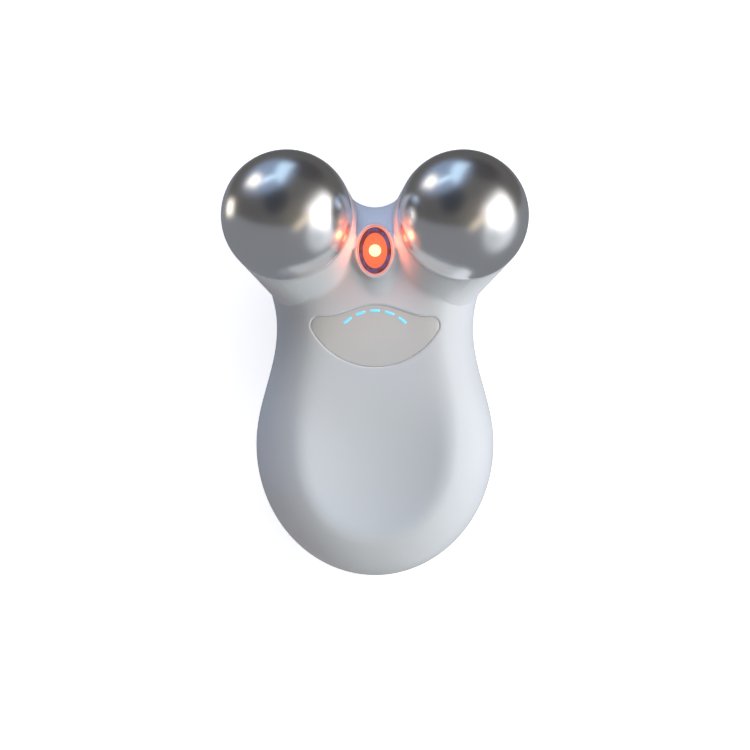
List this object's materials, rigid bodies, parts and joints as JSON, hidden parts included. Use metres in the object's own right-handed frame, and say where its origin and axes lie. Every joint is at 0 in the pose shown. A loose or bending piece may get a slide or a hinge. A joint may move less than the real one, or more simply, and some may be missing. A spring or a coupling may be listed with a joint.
{
  "type": "facial toning device",
  "caption": "Hand-held facial toning device with polished contact balls on short horns, a red-lit oval window and a push key with level lights.",
  "frame": {"origin": "on the flat of the back, under the widest part of the palm bulb", "axes": "+X to the device's right as its front is looked at with the balls at the top, +Y from the tail towards the balls, +Z out of the front face"},
  "size_m": [0.0768, 0.1065, 0.0503],
  "materials": {
    "shell": "satin blue-grey moulded plastic",
    "back": "satin blue-grey moulded plastic",
    "key": "satin warm grey",
    "ball": "polished plating",
    "bezel": "clear moulded ring",
    "reflector": "dark polished",
    "lens": "orange-red tinted",
    "lamp": "lit amber",
    "bar": "lit cyan",
    "seal": "matt silicone",
    "foam": "matt foam",
    "steel": "nickel plated",
    "contact": "plated",
    "board": "solder mask",
    "black": "moulded",
    "white": "moulded",
    "copper": "enamelled winding wire",
    "core": "ferrite",
    "cell": "foil pouch",
    "wire_yellow": "insulation",
    "wire_red": "insulation",
    "wire_black": "insulation"
  },
  "bodies": {
    "case": {"front_shell": "shell", "back_shell": "back", "ball_left": "ball", "ball_right": "ball", "gasket_left": "seal", "gasket_right": "seal", "ball_screws": "contact", "ball_tags": "contact", "ball_lead_left": "wire_yellow", "ball_lead_right": "wire_yellow", "window_bezel": "bezel", "window_reflector": "reflector", "window_lens": "lens", "red_lamp": "lamp", "lamp_board": "board", "lamp_leads": "wire_red", "switch_housing": "black", "switch_dome": "steel", "main_board": "board", "board_screws": "steel", "control_chips": "black", "level_leds": "white", "coil_core": "core", "coil_winding": "copper", "beeper": "black", "battery_cell": "cell", "battery_pad": "foam", "battery_plug": "white", "battery_leads": "wire_red", "charge_board": "board", "charge_socket": "steel", "socket_tongue": "black", "charge_screws": "steel", "charge_leads": "wire_black"},
    "key": {"key_panel": "key", "level_lights": "bar"},
    "switch": {"switch_stem": "black"}
  },
  "joints": [
    {"name": "key_press", "type": "slide", "parent": "case", "child": "key", "axis": [0, 0, -1], "range_m": [0, 0.0005], "stiffness_N_per_m": 4000},
    {"name": "switch_press", "type": "slide", "parent": "case", "child": "switch", "axis": [0, 0, -1], "range_m": [0, 0.0005], "deforming": ["switch_dome"]}
  ],
  "couplings": [
    {"joint": "switch_press", "follows": "key_press", "ratio": 1}
  ]
}
